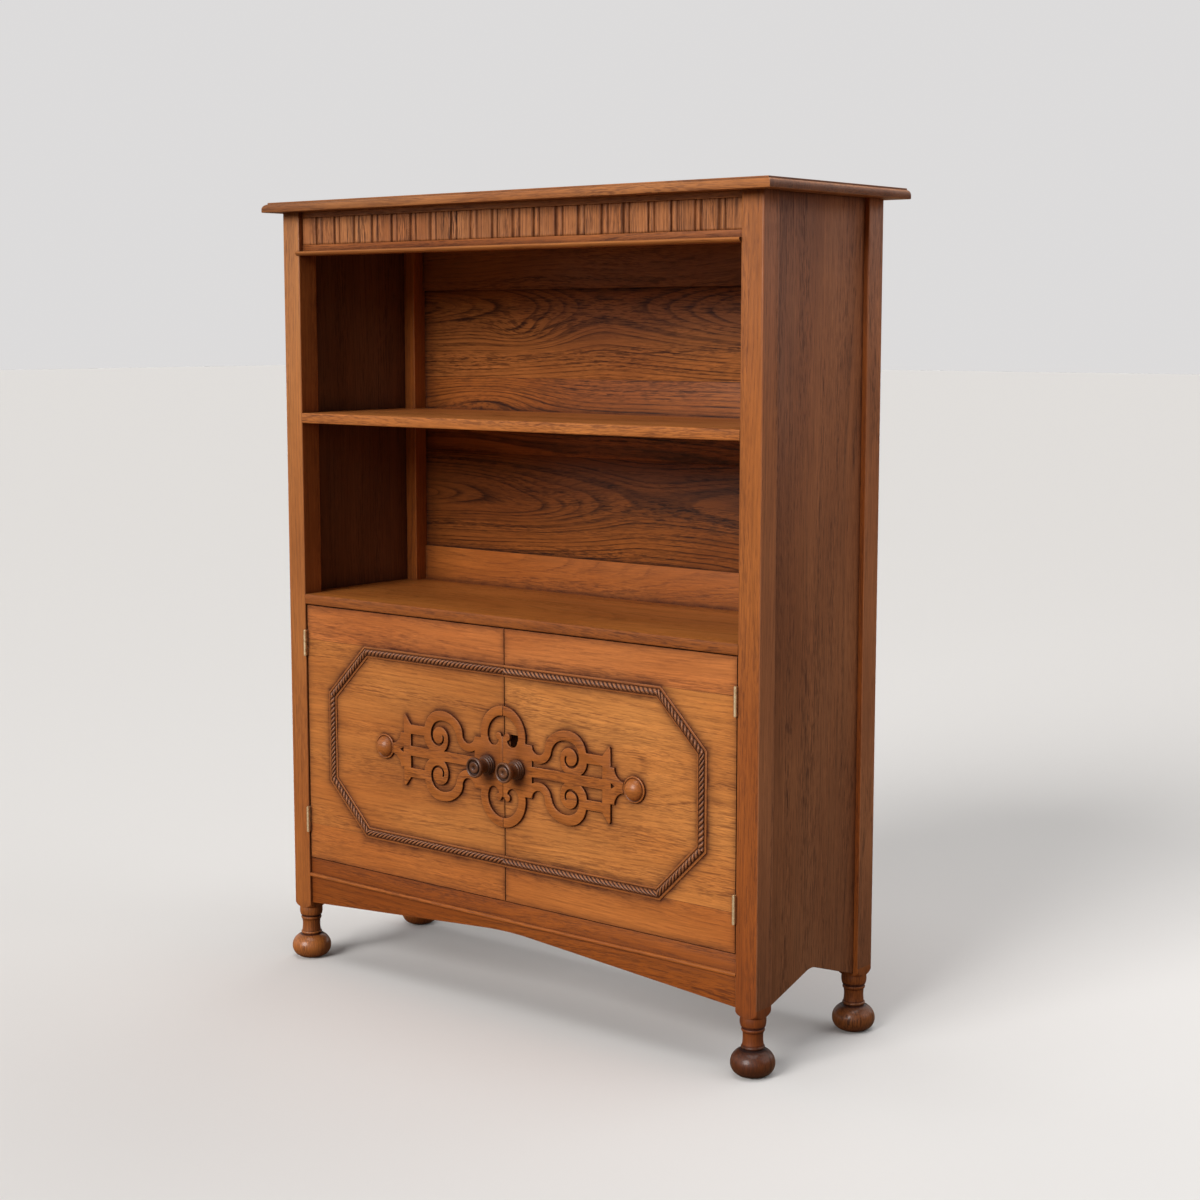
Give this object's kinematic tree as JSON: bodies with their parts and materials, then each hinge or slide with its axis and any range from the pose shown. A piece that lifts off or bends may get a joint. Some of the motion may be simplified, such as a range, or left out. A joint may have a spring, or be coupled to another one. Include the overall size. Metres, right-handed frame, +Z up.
{
  "type": "bookcase with cupboard",
  "caption": "Oak open bookcase over a two-door cupboard, with fluted frieze, rope-moulded octagon and strapwork fret on the doors, turned bun feet.",
  "frame": {"origin": "on the floor, under the middle of the whole outline", "axes": "+Z up, the front with the doors faces -Y, +X to the right seen from the front"},
  "size_m": [0.914, 0.335, 1.143],
  "materials": {
    "oak": "stained and waxed, satin",
    "panel_oak": "stained and waxed, satin",
    "carved_oak": "stained and waxed, satin",
    "dark_oak": "dark stained, waxed",
    "plain_oak": "bare",
    "brass": "aged",
    "steel": "dull"
  },
  "bodies": {
    "carcase": {"apron_bead": "oak", "apron_rail": "oak", "back_bottom_rail": "oak", "back_middle_rail": "oak", "back_top_rail": "oak", "bottom_board": "oak", "door_stop": "oak", "frieze_fluted_strip": "oak", "frieze_lip_moulding": "oak", "frieze_rail": "oak", "front_left_bun_foot": "oak", "front_left_post": "oak", "front_right_bun_foot": "oak", "front_right_post": "oak", "hinge_frame_screws": "brass", "left_hinge_frame_leaves": "brass", "left_hinge_pins": "brass", "left_side_panel": "oak", "lower_back_panel": "panel_oak", "middle_board": "oak", "rear_left_bun_foot": "oak", "rear_left_post": "oak", "rear_right_bun_foot": "oak", "rear_right_post": "oak", "right_hinge_frame_leaves": "brass", "right_hinge_pins": "brass", "right_side_panel": "oak", "shelf_dowels": "plain_oak", "top_board": "oak", "top_dowels": "plain_oak", "upper_back_panel": "panel_oak", "upper_shelf": "oak"},
    "left_door": {"door_bolt_plate": "brass", "door_bolt_screws": "brass", "left_boss": "carved_oak", "left_door_bottom_rail": "oak", "left_door_panel": "panel_oak", "left_door_top_rail": "oak", "left_fret": "carved_oak", "left_hinge_door_leaves": "brass", "left_hinge_door_screws": "brass", "left_knob": "dark_oak", "left_rope_moulding": "dark_oak"},
    "right_door": {"lock_case": "steel", "lock_screws": "brass", "right_boss": "carved_oak", "right_door_bottom_rail": "oak", "right_door_panel": "panel_oak", "right_door_top_rail": "oak", "right_fret": "carved_oak", "right_hinge_door_leaves": "brass", "right_hinge_door_screws": "brass", "right_knob": "dark_oak", "right_rope_moulding": "dark_oak"},
    "lock_bolt": {"lock_bolt": "brass"},
    "door_bolt": {"door_bolt_rod": "brass"}
  },
  "joints": [
    {"name": "left_door_hinge", "type": "hinge", "parent": "carcase", "child": "left_door", "pos_m": [-0.3989, -0.1371, 0.3538], "axis": [0, 0, -1], "range_deg": [0, 180]},
    {"name": "right_door_hinge", "type": "hinge", "parent": "carcase", "child": "right_door", "pos_m": [0.3989, -0.1371, 0.3538], "axis": [0, 0, 1], "range_deg": [0, 180]},
    {"name": "lock_bolt_slide", "type": "slide", "parent": "right_door", "child": "lock_bolt", "axis": [-1, 0, 0], "range_m": [0, 0.007]},
    {"name": "door_bolt_slide", "type": "slide", "parent": "left_door", "child": "door_bolt", "axis": [0, 0, 1], "range_m": [0, 0.009]}
  ]
}
